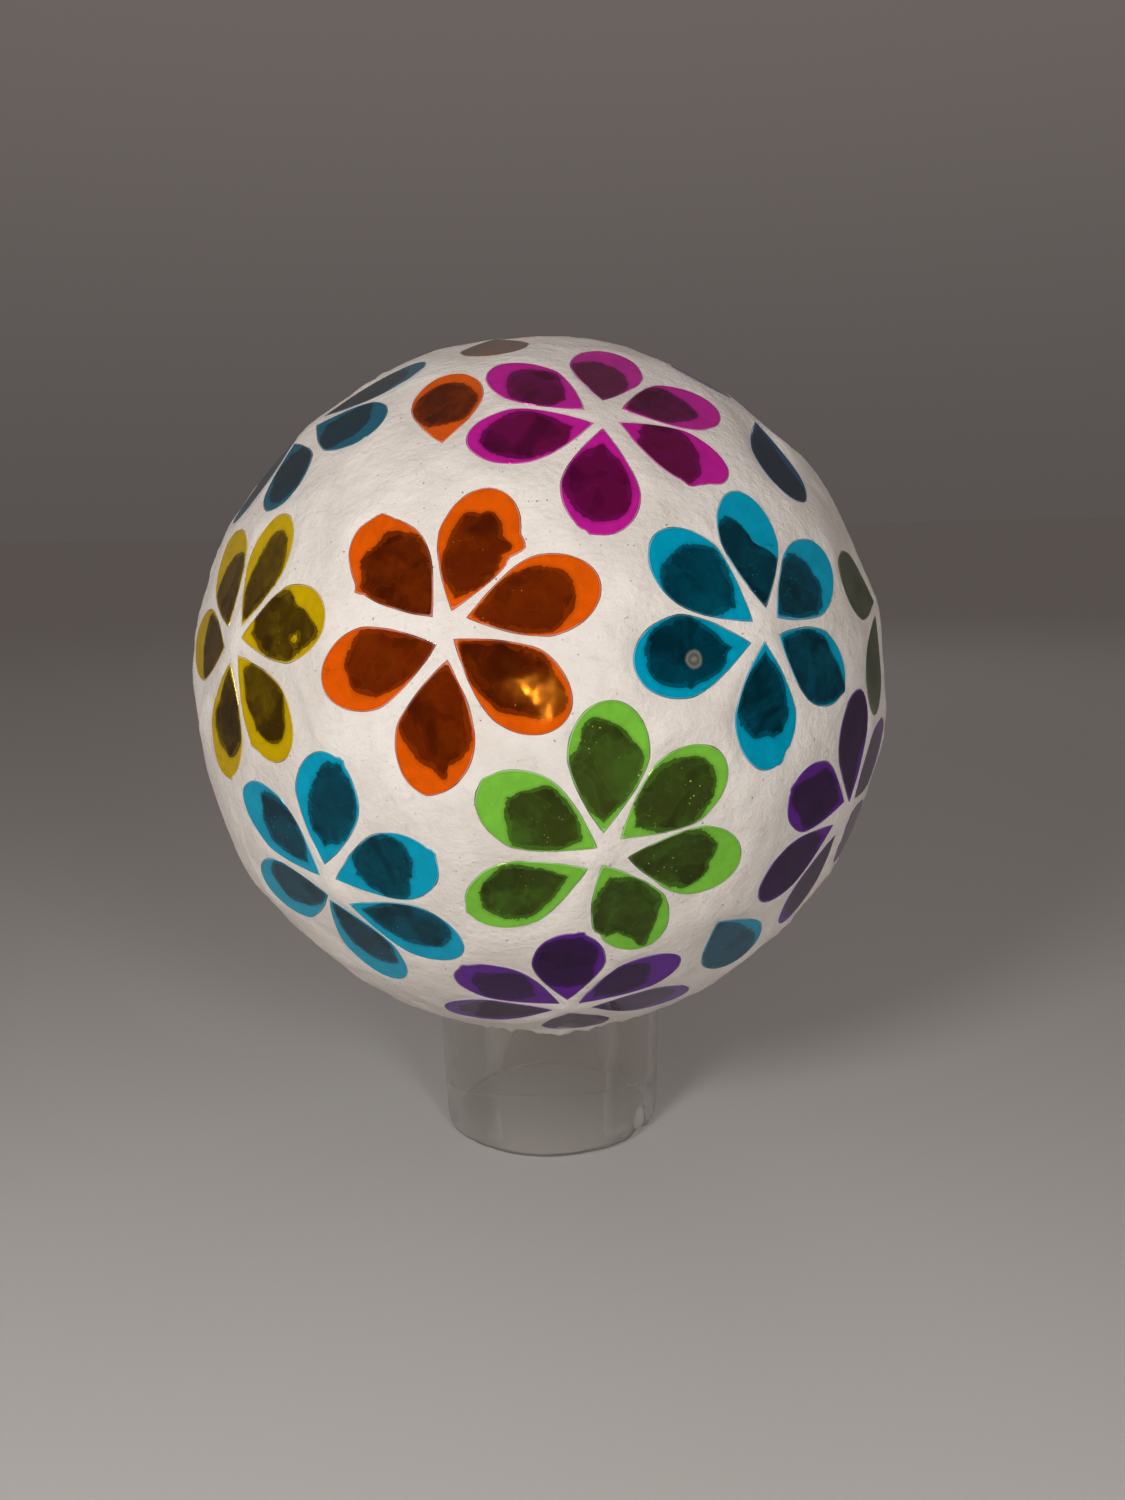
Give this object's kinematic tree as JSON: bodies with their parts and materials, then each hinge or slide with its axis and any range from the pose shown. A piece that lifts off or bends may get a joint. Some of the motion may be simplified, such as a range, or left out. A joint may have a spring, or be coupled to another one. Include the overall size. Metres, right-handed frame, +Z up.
{
  "type": "decorative sphere",
  "caption": "Hollow clear glass ball on its own open neck, covered with white grout and flat drop-shaped petals of coloured glass set as flowers.",
  "frame": {"origin": "middle of the neck's rim, on the surface that the ball stands on", "axes": "+Z up along the neck and ball, -Y towards the side with the orange flower"},
  "size_m": [0.153, 0.1536, 0.1804],
  "materials": {
    "clear_glass": "clear blown glass, cut and slightly rough at the rim",
    "white_grout": "off-white cement grout, fine grain, wiped by hand",
    "orange_glass": "flat polished glass, bonded to a pale backing",
    "magenta_glass": "flat polished glass, bonded to a pale backing",
    "yellow_glass": "flat polished glass, bonded to a pale backing",
    "cyan_glass": "flat polished glass, bonded to a pale backing",
    "green_glass": "flat polished glass, bonded to a pale backing",
    "purple_glass": "flat polished glass, bonded to a pale backing",
    "teal_glass": "flat polished glass, bonded to a pale backing",
    "olive_glass": "flat polished glass, bonded to a pale backing",
    "brown_glass": "flat polished glass, bonded to a pale backing"
  },
  "bodies": {
    "root": {"glass_globe": "clear_glass", "grout": "white_grout", "petal_orange_1": "orange_glass", "petal_orange_2": "orange_glass", "petal_orange_3": "orange_glass", "petal_orange_4": "orange_glass", "petal_orange_5": "orange_glass", "petal_orange_6": "orange_glass", "petal_orange_single": "orange_glass", "petal_magenta_1": "magenta_glass", "petal_magenta_2": "magenta_glass", "petal_magenta_3": "magenta_glass", "petal_magenta_4": "magenta_glass", "petal_magenta_5": "magenta_glass", "petal_magenta_6": "magenta_glass", "petal_yellow_1": "yellow_glass", "petal_yellow_2": "yellow_glass", "petal_yellow_3": "yellow_glass", "petal_yellow_4": "yellow_glass", "petal_yellow_5": "yellow_glass", "petal_yellow_6": "yellow_glass", "petal_cyan_left_1": "cyan_glass", "petal_cyan_left_2": "cyan_glass", "petal_cyan_left_3": "cyan_glass", "petal_cyan_left_4": "cyan_glass", "petal_cyan_left_5": "cyan_glass", "petal_cyan_left_6": "cyan_glass", "petal_cyan_right_1": "cyan_glass", "petal_cyan_right_2": "cyan_glass", "petal_cyan_right_3": "cyan_glass", "petal_cyan_right_4": "cyan_glass", "petal_cyan_right_5": "cyan_glass", "petal_cyan_right_6": "cyan_glass", "petal_cyan_single": "cyan_glass", "petal_green_1": "green_glass", "petal_green_2": "green_glass", "petal_green_3": "green_glass", "petal_green_4": "green_glass", "petal_green_5": "green_glass", "petal_green_6": "green_glass", "petal_purple_right_1": "purple_glass", "petal_purple_right_2": "purple_glass", "petal_purple_right_3": "purple_glass", "petal_purple_right_4": "purple_glass", "petal_purple_right_5": "purple_glass", "petal_purple_right_6": "purple_glass", "petal_purple_low_1": "purple_glass", "petal_purple_low_2": "purple_glass", "petal_purple_low_3": "purple_glass", "petal_purple_low_4": "purple_glass", "petal_purple_low_5": "purple_glass", "petal_purple_low_6": "purple_glass", "petal_teal_1": "teal_glass", "petal_teal_2": "teal_glass", "petal_teal_3": "teal_glass", "petal_teal_4": "teal_glass", "petal_blue_single": "teal_glass", "petal_olive_1": "olive_glass", "petal_olive_2": "olive_glass", "petal_brown_single": "brown_glass"}
  },
  "joints": []
}
